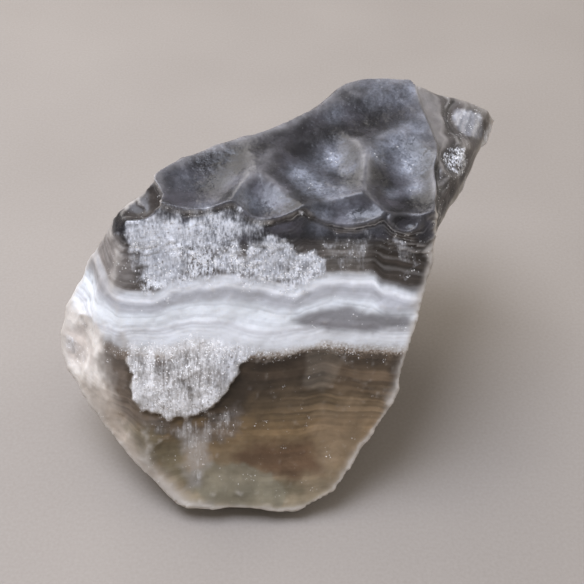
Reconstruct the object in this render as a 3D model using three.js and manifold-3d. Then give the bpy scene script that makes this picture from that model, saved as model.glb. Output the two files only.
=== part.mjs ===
// A broken hand specimen of banded calcite, in millimetres, +Z up.
//
// It is one solid. A broken front face leans back and cuts across the growth layers. A growth face lies on
// top, dished by shallow bowls that meet in ridges. A wedge of the top layers runs out to a point at the
// right, over an undercut side, and a small flat spot underneath carries the stone.
//
// Origin: the middle of the flat spot. X runs along the front face, Y goes back from it.
import * as THREE from "three";
import { ConvexGeometry } from "three/addons/geometries/ConvexGeometry.js";
import { ImprovedNoise } from "three/addons/math/ImprovedNoise.js";
import { TessellateModifier } from "three/addons/modifiers/TessellateModifier.js";
import { mergeVertices } from "three/addons/utils/BufferGeometryUtils.js";
import Module from "manifold-3d";

const { degToRad } = THREE.MathUtils;

// ---- driving dimensions ----
const FRONT_LEAN = degToRad(35); // the front face leans back from upright
const FRONT_TOE_Y = -37.7; // where the front face's plane meets the table
const LEDGE_Y = 0.6; // the ledge, where the front and top faces meet
const LEDGE_Z = 54.8;
const TOP_RISE = degToRad(8); // the top face rises to the back
const FACET = 5; // longest edge of a facet of the broken faces
const ROUGHNESS = 0.5; // how far the broken faces wander from flat; the back twice that
const ROUGHNESS_PITCH = 11; // how far apart their swells lie
const RIDGE_HEIGHT = 1.4; // how high the growth face's ridges stand over the top face's plane, at most
const GROWTH_FACET = 1.5; // the facets across the growth face
const SCOOP_FACET = 2.5; // about the longest edge of a facet inside a small chip
const SIDE_FACET = 4.5; // and inside a wide one

// ---- places on the stone ----

// A point of the front face's plane: x across, `up` along the slope from the toe, `behind` square into the
// stone.
function onFront(x, up, behind = 0) {
  const [s, c] = [Math.sin(FRONT_LEAN), Math.cos(FRONT_LEAN)];
  return new THREE.Vector3(x, FRONT_TOE_Y + up * s + behind * c, up * c - behind * s);
}

// A point of the top face's plane: x across, `back` along it from the ledge, `below` square into the stone.
function onTop(x, back, below = 0) {
  const [s, c] = [Math.sin(TOP_RISE), Math.cos(TOP_RISE)];
  return new THREE.Vector3(x, LEDGE_Y + back * c + below * s, LEDGE_Z + back * s - below * c);
}

const at = (x, y, z) => new THREE.Vector3(x, y, z);

// The outward direction at an azimuth (0 faces the front, 90 the right) and an elevation, in degrees.
function facing(azimuth, elevation) {
  const [a, e] = [degToRad(azimuth), degToRad(elevation)];
  return at(Math.sin(a) * Math.cos(e), -Math.cos(a) * Math.cos(e), Math.sin(e));
}

const FRONT = facing(0, THREE.MathUtils.radToDeg(FRONT_LEAN));
const TOP = facing(0, 90 - THREE.MathUtils.radToDeg(TOP_RISE));

// ---- corners ----
const blockCorners = [
  // the ledge, left to right, left higher than the growth face that is cut into it
  ...[[-20.2, 69.3], [7.2, 70.0], [23.4, 69.2], [32.6, 68.4]].map((p) => onFront(...p)),
  // down the front face's right edge to the toe
  ...[[32.8, 56.1], [31.3, 47.4], [28.8, 37.7], [26.4, 28.0], [22.1, 19.8]].map((p) => onFront(...p)),
  ...[[16.6, 12.0], [14.0, 7.4], [6.4, 3.4], [-6.8, 4.8], [-16.4, 4.7]].map((p) => onFront(...p)),
  // up its left edge
  ...[[-24.0, 15.0], [-28.7, 38.2], [-31.0, 52.0], [-28.0, 64.0]].map((p) => onFront(...p)),
  // the rounding between the front face and the left side, then that side, each from the top down
  ...[[-30.6, 61.5, 1.6], [-33.8, 53.0, 2.8], [-34.6, 43.0, 3.9]].map((p) => onFront(...p)),
  ...[[-33.4, 34.0, 3.8], [-30.4, 24.5, 2.4], [-26.2, 14.4, 1.0]].map((p) => onFront(...p)),
  ...[[-30.6, 64.9, 4], [-35.7, 57.0, 8], [-43.0, 44.9, 12], [-44.6, 36.2, 13]].map((p) => onFront(...p)),
  ...[[-42.9, 31.2, 11], [-36.4, 24.9, 6], [-32.1, 17.2, 4], [-25.0, 10.7, 2]].map((p) => onFront(...p)),
  onFront(-18.4, 5.2, 1),
  // round the top face from the left, over the growth face
  ...[[-20.8, 10.4, -1], [-13.4, 13.4, -1], [16.6, 36.6, -0.6], [22.1, 38.1, -0.6]].map((p) => onTop(...p)),
  ...[[31.3, 37.4, -0.6], [31.8, 34.8, -0.6], [35.6, 16.0, -0.6], [33.6, 2.1, -0.6]].map((p) => onTop(...p)),
  // the flat spot
  at(-15, -9, 0), at(-4, -17, 0), at(9, -14, 0), at(16, -3, 0), at(13, 11, 0), at(1, 17, 0), at(-12, 10, 0),
  // the back and underneath
  at(-38, 9, 30), at(-30, 20, 24), at(-12, 34, 26), at(8, 42, 33), at(26, 45, 38),
  at(30, 14, 22), at(26, -4, 18), at(-30, 4, 12), at(18, 28, 12),
];
const wedgeCorners = [
  // its upper edge, sunk below the top face's rim
  ...[[28.0, 38.0, 1.0], [33.5, 33.5, 2.0], [36.0, 17.0, 1.2], [33.4, 3.0, 0.8]].map((p) => onTop(...p)),
  onFront(32.4, 64.0, 0.3),
  // its outer edge, from the back round to the front face
  at(40.8, 35.6, 57), at(48.4, 35, 54.2), at(50.5, 36.1, 50.4), at(47.0, 27.9, 47.2), at(41.4, 16.9, 46),
  at(32.8, -2.9, 49.5),
  // its root inside the block
  at(22, 36, 50), at(20, 20, 42), at(24, 4, 44),
];

// ---- the solid ----
const wasm = await Module();
wasm.setup();

// The closed mesh of a geometry as a solid.
function solidOf(geometry) {
  const bare = new THREE.BufferGeometry().setAttribute("position", geometry.getAttribute("position"));
  if (geometry.index) bare.setIndex(geometry.index);
  const merged = mergeVertices(bare, 1e-3);
  return new wasm.Manifold(
    new wasm.Mesh({
      numProp: 3,
      vertProperties: new Float32Array(merged.attributes.position.array),
      triVerts: new Uint32Array(merged.index.array),
    }),
  );
}

function geometryOf(solid) {
  const mesh = solid.getMesh();
  return new THREE.BufferGeometry()
    .setAttribute("position", new THREE.BufferAttribute(mesh.vertProperties, 3))
    .setIndex(new THREE.BufferAttribute(mesh.triVerts, 1));
}

const noise = new ImprovedNoise();

// Smooth noise from about -1 to 1, whose swells lie `pitch` apart.
function swell(p, pitch) {
  return noise.noise(p.x / pitch + 7.3, p.y / pitch + 1.9, p.z / pitch + 4.1);
}

// A convex block through its corners, broken rough except on the flat spot.
function roughBlock(corners) {
  const hull = new TessellateModifier(FACET, 12).modify(new ConvexGeometry(corners));
  const rough = mergeVertices(
    new THREE.BufferGeometry().setAttribute("position", hull.getAttribute("position")),
    1e-3,
  );
  rough.computeVertexNormals();
  const { position, normal } = rough.attributes;
  const p = new THREE.Vector3();
  const n = new THREE.Vector3();
  for (let i = 0; i < position.count; i++) {
    p.fromBufferAttribute(position, i);
    n.fromBufferAttribute(normal, i);
    if (p.z < 0.01) continue;
    const wander = swell(p, ROUGHNESS_PITCH) + 0.5 * swell(p, ROUGHNESS_PITCH / 2.3);
    p.addScaledVector(n, ROUGHNESS * (1 + Math.max(0, n.y)) * wander * Math.min(1, p.z / 4));
    position.setXYZ(i, p.x, p.y, Math.max(p.z, 0.3));
  }
  return solidOf(rough);
}

// What a scoop takes out of a face: an uneven ellipsoid that meets the face in an oval of the given half
// widths and goes `depth` into it. `turn` turns the oval. A smaller `fullness` makes its sides steeper and
// its floor flatter.
function scoop({ site, out, halves, depth, turn = 0, fullness = 0.75, uneven = 0.12, facet = SCOOP_FACET }) {
  const [halfX, halfY] = halves;
  const toRim = Math.sqrt(1 - fullness ** 2);
  const radii = at(halfX / toRim, halfY / toRim, depth / (1 - fullness));
  const cuts = Math.max(4, Math.round((1.1 * Math.max(radii.x, radii.y)) / facet));
  const ball = mergeVertices(
    new THREE.BufferGeometry().setAttribute(
      "position",
      new THREE.IcosahedronGeometry(1, cuts - 1).getAttribute("position"),
    ),
    1e-4,
  );
  const { position } = ball.attributes;
  const p = new THREE.Vector3();
  for (let i = 0; i < position.count; i++) {
    p.fromBufferAttribute(position, i);
    const lump = at(p.x * 1.6 + site.x, p.y * 1.6 + site.y, p.z * 1.6 + site.z);
    p.multiplyScalar(1 + uneven * noise.noise(lump.x, lump.y, lump.z));
    position.setXYZ(i, p.x, p.y, p.z);
  }
  const across = at(1, 0, 0).addScaledVector(out, -out.x).normalize();
  const frame = new THREE.Matrix4().makeBasis(across, out.clone().cross(across), out);
  ball.applyMatrix4(new THREE.Matrix4().makeScale(...radii));
  ball.applyMatrix4(new THREE.Matrix4().makeRotationZ(degToRad(turn)));
  ball.applyMatrix4(frame);
  const centre = site.clone().addScaledVector(out, fullness * radii.z);
  ball.translate(...centre);
  return solidOf(ball);
}

// Bowls of the growth face, seen from above: x and back of each one's lowest point, its height over the top
// face's plane, how far it reaches to rise by 1 mm to the left, the right, ahead and behind, and its turn.
const bowls = [
  [-12.5, 7.0, -1.0, 7.3, 4.9, 7.0, 12.0, -28], // the broad one at the left
  [-0.7, -0.5, -1.1, 3.6, 5.8, 6.0, 5.5, 0], // at the ledge
  [9.5, 10.5, -1.6, 6.1, 7.4, 6.8, 10.0, 0], // the middle one
  [14.3, 13.0, -2.6, 7.0, 2.9, 4.7, 9.0, 0], // and a deeper one inside it
  [15.5, -1.5, -2.0, 5.0, 6.3, 5.0, 2.7, 0], // at the ledge again
  [27.5, 7.5, -2.4, 4.6, 4.9, 7.3, 8.4, 0], // the deep one at the right
  [27.5, -3.0, -2.9, 3.0, 2.6, 4.0, 1.9, 0], // a step under it
  [19.0, 25.5, -1.3, 16.0, 16.0, 5.5, 5.5, 20], // the long valley behind
].map(([x, back, floor, left, right, ahead, behind, turn]) => ({
  x, back, floor, left, right, ahead, behind, turn: degToRad(turn),
}));

// The growth face's height over the top face's plane: the lowest bowl's, so that bowls meet in ridges.
function growthHeight(x, back) {
  let height = RIDGE_HEIGHT * (1 - THREE.MathUtils.smoothstep(back, 6, 20));
  for (const bowl of bowls) {
    const [c, s] = [Math.cos(bowl.turn), Math.sin(bowl.turn)];
    const u = (x - bowl.x) * c + (back - bowl.back) * s;
    const v = (back - bowl.back) * c - (x - bowl.x) * s;
    const across = u / (u < 0 ? bowl.left : bowl.right);
    const along = v / (v < 0 ? bowl.ahead : bowl.behind);
    height = Math.min(height, bowl.floor + across ** 2 + along ** 2);
  }
  return height;
}

// What lies over the growth face: a slab whose underside is the face.
function overGrowth() {
  const [width, length, thickness] = [72, 58, 16];
  const slab = mergeVertices(
    new THREE.BufferGeometry().setAttribute(
      "position",
      new THREE.BoxGeometry(width, length, thickness, width / GROWTH_FACET, length / GROWTH_FACET, 1)
        .toNonIndexed()
        .getAttribute("position"),
    ),
    1e-3,
  );
  slab.translate(4, 17, 0);
  const { position } = slab.attributes;
  for (let i = 0; i < position.count; i++) {
    const [x, back] = [position.getX(i), position.getY(i)];
    position.setZ(i, position.getZ(i) < 0 ? growthHeight(x, back) : thickness);
  }
  const along = at(0, Math.cos(TOP_RISE), Math.sin(TOP_RISE));
  slab.applyMatrix4(new THREE.Matrix4().makeBasis(at(1, 0, 0), along, TOP));
  slab.translate(...onTop(0, 0));
  return solidOf(slab);
}

// Chips out of the front face: x and up of the middle, half widths across and up, depth, turn.
const frontChips = [
  [7.7, 21.0, 20.4, 17.2, 1.4, 0],
  [-16.0, 13.6, 11.4, 7.8, 1.1, 28],
  [25.6, 54.0, 9.4, 6.4, 0.9, -14],
].map(([x, up, halfX, halfUp, depth, turn]) => ({
  site: onFront(x, up), out: FRONT, halves: [halfX, halfUp], depth, turn, fullness: 0.4, uneven: 0.2,
}));

// Chips out of the rims and the left side: the middle of the chip, the way it faces, half widths, depth and
// turn.
const rimChips = [
  // the hollow behind the top face, and the notch at its left end
  [onTop(2.5, 28.0), facing(217, 30), [21, 11], 4.0, 0],
  [onTop(-24.9, 4.0, 1.0), facing(-40, 46), [4.8, 4.2], 2.3, 0],
  // over the left lump, and two facets of the lump
  [onFront(-38.4, 50.0, 7.4), facing(-62, 34), [6, 8.5], 2.1, 10],
  [onFront(-39.0, 37.0, 7.6), facing(-55, 24), [4.4, 7.0], 0.9, -18],
  [onFront(-31.0, 25.0, 2.4), facing(-30, 18), [5.4, 6.4], 0.8, -30],
  // a step down from the ledge
  [onTop(27.2, -2.4, 1.3), facing(0, 78), [5.4, 3.4], 1.0, 0],
  // the groove beside the top face's right rim, the flat facet beyond it, and the steps below
  [at(39.2, 27.0, 56.4), facing(70, 72), [1.7, 8.4], 1.2, -12],
  [at(43.4, 29.0, 55.0), facing(40, 66), [4.2, 3.8], 0.7, 30],
  [at(38.4, 16.2, 54.8), facing(40, 62), [3.2, 4.4], 1.3, 20],
  [at(35.2, 10.5, 54.9), facing(60, 62), [2.2, 4.4], 1.1, 0],
].map(([site, out, halves, depth, turn]) => ({ site, out, halves, depth, turn, fullness: 0.6 }));

// Wide chips that meet in ridges round the right, the back and underneath: the middle, the way it faces, half
// widths, depth and turn.
const sideChips = [
  [at(39, 20, 35), facing(84, -24), [18, 12], 2.8, 0],
  [at(34, 4, 32), facing(80, -18), [12, 15], 1.8, 0],
  [at(28, 15, 20), facing(104, -40), [21, 15], 3.0, 20],
  [at(-26, 20, 40), facing(222, 18), [24, 20], 3.0, 10],
  [at(3, 38, 43), facing(200, 6), [20, 17], 2.6, -15],
  [at(30, 44, 46), facing(168, 10), [15, 14], 2.2, 0],
  [at(6, 34, 22), facing(188, -40), [26, 17], 3.2, 12],
  [at(-28, 12, 18), facing(240, -30), [19, 15], 2.8, -10],
].map(([site, out, halves, depth, turn]) => ({
  site, out, halves, depth, turn, fullness: 0.6, uneven: 0.2, facet: SIDE_FACET,
}));

let solid = roughBlock(blockCorners).add(roughBlock(wedgeCorners));
solid = solid.subtract(overGrowth());
for (const cut of [...frontChips, ...rimChips, ...sideChips]) solid = solid.subtract(scoop(cut));

const stone = new THREE.Mesh(
  geometryOf(solid),
  new THREE.MeshStandardMaterial({ color: 0x8f8c8a, roughness: 0.45, metalness: 0 }),
);
stone.name = "calcite_specimen";

const specimen = new THREE.Group();
specimen.add(stone);
export default specimen;
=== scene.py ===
"""A broken hand specimen of banded calcite on a pale table, in metres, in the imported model's frame."""

import logging
import math
from dataclasses import dataclass, field
from enum import Enum
from typing import Any

import bpy
import numpy as np
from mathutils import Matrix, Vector


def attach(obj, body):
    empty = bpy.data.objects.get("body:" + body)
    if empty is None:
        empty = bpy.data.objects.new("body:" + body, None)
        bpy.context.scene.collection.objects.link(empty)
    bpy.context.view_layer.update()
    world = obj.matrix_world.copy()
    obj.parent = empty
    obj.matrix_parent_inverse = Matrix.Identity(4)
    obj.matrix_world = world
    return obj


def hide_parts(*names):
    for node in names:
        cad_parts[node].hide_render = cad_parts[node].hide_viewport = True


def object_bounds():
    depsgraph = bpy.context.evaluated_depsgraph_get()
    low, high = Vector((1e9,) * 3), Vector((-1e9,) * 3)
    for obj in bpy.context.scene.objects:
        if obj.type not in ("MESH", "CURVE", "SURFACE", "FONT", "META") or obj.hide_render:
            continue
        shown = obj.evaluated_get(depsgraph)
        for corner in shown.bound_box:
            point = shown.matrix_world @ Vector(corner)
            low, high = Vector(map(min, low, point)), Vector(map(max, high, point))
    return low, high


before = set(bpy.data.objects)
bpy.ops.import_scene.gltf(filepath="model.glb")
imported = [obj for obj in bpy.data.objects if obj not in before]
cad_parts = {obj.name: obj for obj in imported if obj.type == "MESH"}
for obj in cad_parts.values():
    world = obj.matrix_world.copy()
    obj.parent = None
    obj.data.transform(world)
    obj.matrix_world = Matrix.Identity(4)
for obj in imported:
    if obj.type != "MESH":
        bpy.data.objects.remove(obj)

CAD_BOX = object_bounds()
MM = 0.001

log = logging.getLogger("calcite_specimen")


# ---- small tools ----


Colour = tuple[float, float, float, float]


def linear(hex_colour: str) -> Colour:
    """Turns an sRGB hex colour into linear light.

    Args:
        hex_colour: Six hex digits, with or without a leading hash.

    Returns:
        Red, green, blue and an alpha of 1, each from 0 to 1.
    """
    digits = hex_colour.lstrip("#")
    parts = [int(digits[i : i + 2], 16) / 255 for i in (0, 2, 4)]
    red, green, blue = (v / 12.92 if v <= 0.04045 else ((v + 0.055) / 1.055) ** 2.4 for v in parts)
    return red, green, blue, 1.0


def add_node(
    tree: bpy.types.NodeTree, kind: str, settings: dict[str, Any] | None = None, links: dict[Any, Any] | None = None
) -> bpy.types.Node:
    """Adds one node to a tree.

    Args:
        tree: The material's or world's node tree.
        kind: The node's type name.
        settings: The node's own properties, by name.
        links: What goes into each input, by name or number: another node's output, or a plain value.

    Returns:
        The new node.
    """
    node = tree.nodes.new(kind)
    for name, value in (settings or {}).items():
        setattr(node, name, value)
    for name, value in (links or {}).items():
        if isinstance(value, bpy.types.NodeSocket):
            tree.links.new(value, node.inputs[name])
        else:
            node.inputs[name].default_value = value
    return node


def ease(values: np.ndarray, low: float, high: float) -> np.ndarray:
    """Rises smoothly from 0 at one value to 1 at another.

    Args:
        values: What to look up.
        low: The value that gives 0. It may be the larger of the two.
        high: The value that gives 1.

    Returns:
        Numbers from 0 to 1.
    """
    t = np.clip((values - low) / (high - low), 0.0, 1.0)
    return t * t * (3.0 - 2.0 * t)


class Swell:
    """Smooth noise in space, the same on every run."""

    def __init__(self, seed: int) -> None:
        """Deals out the slopes.

        Args:
            seed: Which noise this is.
        """
        rng = np.random.default_rng(seed)
        self.order = rng.permutation(256)
        slopes = rng.normal(size=(256, 3))
        self.slopes = slopes / np.linalg.norm(slopes, axis=1, keepdims=True)

    def __call__(self, points: np.ndarray, pitch: float) -> np.ndarray:
        """Reads the noise at points.

        Args:
            points: Places in mm, one per row.
            pitch: How far apart the swells lie, in mm.

        Returns:
            One number per point, from about -1 to 1.
        """
        q = points / pitch
        cell = np.floor(q).astype(int)
        within = q - cell
        blend = within**3 * (within * (within * 6 - 15) + 10)
        total = np.zeros(len(points))
        for corner in np.ndindex(2, 2, 2):
            c = (cell + corner) & 255
            pick = self.order[(self.order[(self.order[c[:, 0]] + c[:, 1]) & 255] + c[:, 2]) & 255]
            lean = np.einsum("ij,ij->i", self.slopes[pick], within - corner)
            share = np.prod(np.where(np.array(corner) == 1, blend, 1 - blend), axis=1)
            total += lean * share
        return total * 1.6


class Chips:
    """Shallow chip scars in space that meet in sharp ridges, each tipped its own way, the same on every run."""

    def __init__(self, seed: int) -> None:
        """Deals out the chips.

        Args:
            seed: Which chips these are.
        """
        rng = np.random.default_rng(seed)
        self.order = rng.permutation(256)
        self.middles = rng.random((256, 3))
        self.tips = 0.3 * rng.normal(size=(256, 3))

    def __call__(self, points: np.ndarray, pitch: float) -> np.ndarray:
        """Reads the height of the scar that each point is in.

        Args:
            points: Places in mm, one per row.
            pitch: About how wide a scar is, in mm.

        Returns:
            One number per point, from about -1 in the middle of a scar to 1 on a ridge.
        """
        q = points / pitch
        cell = np.floor(q).astype(int)
        lowest = np.full(len(points), 1e9)
        for corner in np.ndindex(3, 3, 3):
            c = cell + np.array(corner) - 1
            k = c & 255
            pick = self.order[(self.order[(self.order[k[:, 0]] + k[:, 1]) & 255] + k[:, 2]) & 255]
            away = q - c - self.middles[pick]
            lowest = np.minimum(lowest, np.einsum("ij,ij->i", away, away + self.tips[pick]))
        return np.clip(3.4 * lowest - 0.8, -1.0, 1.2)


# ---- where things are on the stone, in mm ----


@dataclass(frozen=True)
class FacePlane:
    """A plane that a face of the stone lies along, leaning in the plane of Y and Z."""

    toe: tuple[float, float]
    tilt: float

    def read(self, points: np.ndarray) -> tuple[np.ndarray, np.ndarray]:
        """Gives places as seen on the plane.

        Args:
            points: Places in mm, one per row.

        Returns:
            How far each lies up along the plane, and how deep behind it.
        """
        y, z = points[:, 1] - self.toe[0], points[:, 2] - self.toe[1]
        s, c = math.sin(self.tilt), math.cos(self.tilt)
        return y * s + z * c, y * c - z * s

    @property
    def outward(self) -> np.ndarray:
        """The way the face looks."""
        return np.array([0.0, -math.cos(self.tilt), math.sin(self.tilt)])


FRONT = FacePlane(toe=(-37.7, 0.0), tilt=math.radians(35))
TOP = FacePlane(toe=(0.6, 54.8), tilt=math.radians(82))


@dataclass(frozen=True)
class Bowl:
    """One bowl of the growth face, seen from above: a dish that rises by 1 mm at each reach from its lowest point."""

    x: float
    back: float
    floor: float  # height of its lowest point over the face's plane
    left: float
    right: float
    ahead: float
    behind: float
    turn: float = 0.0

    def height(self, x: np.ndarray, back: np.ndarray) -> np.ndarray:
        """Gives the dish's height.

        Args:
            x: Places across.
            back: Places back from the ledge.

        Returns:
            Heights over the face's plane, in mm.
        """
        c, s = math.cos(math.radians(self.turn)), math.sin(math.radians(self.turn))
        u = (x - self.x) * c + (back - self.back) * s
        v = (back - self.back) * c - (x - self.x) * s
        return self.floor + (u / np.where(u < 0, self.left, self.right)) ** 2 + (
            v / np.where(v < 0, self.ahead, self.behind)
        ) ** 2


BOWLS = (
    Bowl(-12.5, 7.0, -1.0, left=7.3, right=4.9, ahead=7.0, behind=12.0, turn=-28),  # the broad one at the left
    Bowl(-0.7, -0.5, -1.1, left=3.6, right=5.8, ahead=6.0, behind=5.5),  # at the ledge
    Bowl(9.5, 10.5, -1.6, left=6.1, right=7.4, ahead=6.8, behind=10.0),  # the middle one
    Bowl(13.6, 13.4, -2.15, left=7.5, right=3.6, ahead=5.2, behind=9.0),  # and a deeper one inside it
    Bowl(15.5, -1.5, -2.0, left=5.0, right=6.3, ahead=5.0, behind=2.7),  # at the ledge again
    Bowl(27.5, 7.5, -2.4, left=4.6, right=4.9, ahead=7.3, behind=8.4),  # the deep one at the right
    Bowl(27.5, -3.0, -2.9, left=3.0, right=2.6, ahead=4.0, behind=1.9),  # a step under it
    Bowl(19.0, 25.5, -1.3, left=16.0, right=16.0, ahead=5.5, behind=5.5, turn=20),  # the long valley behind
)
RIDGE_ROUNDING = 0.6  # mm


@dataclass(frozen=True)
class Spots:
    """Soft round spots of the growth face: x, back and reach of each in mm, and its strength."""

    places: tuple[tuple[float, float, float, float], ...]

    def cover(self, x: np.ndarray, back: np.ndarray) -> np.ndarray:
        """Says how strongly the spots show.

        Args:
            x: Places across.
            back: Places back from the ledge.

        Returns:
            Numbers from 0 to 1.
        """
        clear = np.ones(len(x))
        for sx, sb, reach, strength in self.places:
            clear *= 1 - strength * np.exp(-((x - sx) ** 2 + (back - sb) ** 2) / reach**2)
        return 1 - clear


# Painted bluish highlights of the window on the growth face, laid as milky clouds; and painted shade spots between
# them.
HIGHLIGHT_CLOUDS = Spots((
    (13.2, 15.4, 3, 0.85), (16.4, 12.4, 2.6, 0.4), (6.6, 10.6, 2.6, 0.8), (9.4, 7, 2.8, 0.75), (13.5, 4.6, 3, 0.6),
    (22.3, 14.8, 1.6, 0.8), (26, 18.2, 3, 0.7), (30.2, 21.6, 3.2, 0.65), (29.2, 13.3, 3, 0.85), (29.8, 7.4, 2, 0.8),
    (25.2, 5.9, 1.3, 0.6), (14.2, 27.6, 2.2, 0.4), (33.5, 26, 3, 0.5), (24, 35, 5, 0.35), (31, 34.5, 4, 0.5),
    (-8, 8, 3, 0.2), (-17, 8, 3.5, 0.2), (16, 0, 3, 0.4), (0.5, 3, 3, 0.35), (-3.6, 2.4, 2.6, 0.4),
    (10.6, -1.4, 2.2, 0.45), (21, -1, 2, 0.4), (-12, -1, 3, 0.35),
))
# Painted shade: dark spots on slopes turned from the light and where the face mirrors a dark part of the room.
SHADE_SPOTS = Spots((
    (-11.3, 12, 3.4, 0.7), (-13.6, 4.4, 3, 0.6), (1.4, 10, 2.2, 0.95), (3, 8, 1.6, 0.7), (-3, 19, 4, 0.6),
    (6, 19.5, 5, 0.8), (12, 22, 4, 0.7), (20, 24.5, 5, 0.8), (27.5, 27.5, 5, 0.85), (28.4, 3, 3.4, 0.85),
    (16.6, 31, 4, 0.4), (22.2, 9, 2, 0.4), (18, 36.5, 3, 0.5),
))
SHELF = 1.4  # how high the growth face's front edge stands over its plane, mm


def growth_height(x: np.ndarray, back: np.ndarray) -> np.ndarray:
    """Gives the growth face's height: the lowest of its bowls at each place, so that they meet in ridges.

    Args:
        x: Places across, in mm.
        back: Places back from the ledge.

    Returns:
        Heights over the face's plane.
    """
    height = SHELF - SHELF * ease(back, 6.0, 20.0)
    for bowl in BOWLS:
        dish = bowl.height(x, back)
        near = np.clip(1 - np.abs(height - dish) / RIDGE_ROUNDING, 0, 1)
        height = np.minimum(height, dish) - near**2 * RIDGE_ROUNDING / 4
    return height


@dataclass(frozen=True)
class Layers:
    """The growth layers: how deep each point lies under the growth face, with the waves that the layers have.

    Each wave is a line across the stone, by pairs of x and height in mm: just under the growth face, at the white
    band's top and at its foot.
    """

    top_wave: tuple[tuple[float, float], ...] = (
        (-45, 1), (-32, 0.4), (-27, 1.8), (-23.5, 2.4), (-19, 0.6), (-15, 0), (-10, -0.4), (-6.5, -1.3), (-5.2, 0),
        (-2, 1.05), (1, 1.05), (4.6, 0.4), (7.2, -0.7), (8.7, 0.3), (12, 1.2), (17, 1.9), (21, 1.4), (23, 0.6),
        (25, 1.9), (28.3, 2.8), (30.7, 2.4), (32.5, 0.8), (40, 1.6), (50, 0.5),
    )
    band_top_wave: tuple[tuple[float, float], ...] = (
        (-45, 0.4), (-32.7, 0.4), (-28, 1.5), (-23, 1.5), (-18, 0), (-12.8, -0.7), (-7.7, -1.1), (-2.6, -0.4),
        (2.5, 0.4), (5.6, 0.75), (8.1, -0.35), (11.7, -1.1), (16.8, -1.3), (20.9, -0.9), (23.9, 0.75), (31, 1.5),
        (40, 0.6), (50, 0.8),
    )
    band_foot_wave: tuple[tuple[float, float], ...] = (
        (-45, 4.2), (-36, 3.2), (-31, 1), (-28, 0), (-21.5, 0.3), (-13.5, -0.9), (0, 0.8), (7.6, 0.25), (11.6, -0.75),
        (15, -0.3), (20.4, -0.3), (26.4, 0.3), (40, 0), (50, 0.4),
    )

    def wave(self, knots: tuple[tuple[float, float], ...], x: np.ndarray) -> np.ndarray:
        """Draws a smooth line through knots.

        Args:
            knots: Pairs of x and height, in mm, x rising.
            x: Where to read the line.

        Returns:
            The line's height at each x.
        """
        kx, kh = np.array(knots).T
        i = np.clip(np.searchsorted(kx, x) - 1, 0, len(kx) - 2)
        return kh[i] + (kh[i + 1] - kh[i]) * ease(x, kx[i], kx[i + 1])

    def depth(self, points: np.ndarray) -> np.ndarray:
        """Finds the layer that each point lies in.

        Args:
            points: Places in mm, one per row.

        Returns:
            Depth under the growth face in mm, measured square to the layers.
        """
        _, below = TOP.read(points)
        _, behind = FRONT.read(points)
        x = points[:, 0] + 0.18 * behind
        upper = self.wave(self.top_wave, x)
        middle = self.wave(self.band_top_wave, x)
        lower = self.wave(self.band_foot_wave, x)
        toward_middle = ease(below, 1.0, 9.0)
        toward_lower = ease(below, 12.5, 19.5)
        wave = upper * (1 - toward_middle) + middle * toward_middle * (1 - toward_lower) + lower * toward_lower
        return below - wave * (1 - 0.6 * ease(below, 22.0, 34.0))


Outline = tuple[tuple[float, float], ...]


@dataclass(frozen=True)
class Area:
    """An area of the front face, by its corners: across and up the face, in mm."""

    corners: Outline
    strength: float = 1.0
    soft: float = 1.2
    fray: float = 1.0

    def cover(self, x: np.ndarray, up: np.ndarray, ragged: np.ndarray) -> np.ndarray:
        """Says how far each point lies within the area.

        Args:
            x: Places across.
            up: Places up the face.
            ragged: Noise that frays the edge.

        Returns:
            Zero outside, rising to the area's strength inside.
        """
        near = np.full(len(x), 1e9)
        inside = np.zeros(len(x), bool)
        for (x0, u0), (x1, u1) in zip(self.corners, self.corners[1:] + self.corners[:1]):
            ex, eu = x1 - x0, u1 - u0
            t = np.clip(((x - x0) * ex + (up - u0) * eu) / (ex * ex + eu * eu), 0, 1)
            near = np.minimum(near, np.hypot(x - x0 - t * ex, up - u0 - t * eu))
            if eu:
                inside ^= ((u0 > up) != (u1 > up)) & (x < x0 + (up - u0) * ex / eu)
        depth = np.where(inside, near, -near) + self.fray * ragged
        return self.strength * ease(depth, -0.5 * self.soft, 0.5 * self.soft)


def covered(areas: tuple[Area, ...], x: np.ndarray, up: np.ndarray, ragged: np.ndarray) -> np.ndarray:
    """Lays several areas over each other.

    Args:
        areas: The areas.
        x: Places across the front face.
        up: Places up it.
        ragged: Noise that frays their edges.

    Returns:
        The strongest cover at each point.
    """
    total = np.zeros(len(x))
    for area in areas:
        total = np.maximum(total, area.cover(x, up, ragged))
    return total


@dataclass(frozen=True)
class Patch:
    """A round patch anywhere on the stone: its middle and its reach, in mm."""

    middle: tuple[float, float, float]
    reach: float
    soft: float = 0.7

    def cover(self, points: np.ndarray, ragged: np.ndarray) -> np.ndarray:
        """Says how far each point lies within the patch.

        Args:
            points: Places in mm, one per row.
            ragged: Noise that frays the edge.

        Returns:
            Zero outside, rising to 1 inside.
        """
        away = np.linalg.norm(points - self.middle, axis=1) + ragged
        return ease(away, self.reach + self.soft, self.reach - self.soft)


# A flat frosted facet and a patch of coarse broken grains near the right corner, and a notch at the left one,
# which is broken down into the grey layers.
FROSTED_FACET = Patch((43.4, 29.0, 54.6), 3.8)
SPARKLING = Patch((39.5, 17.5, 53.0), 3.6)
NOTCH = Patch((-25.0, 4.2, 52.4), 4.2)
NOTCH_LAYER = 6.2  # depth under the growth face, mm

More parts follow.
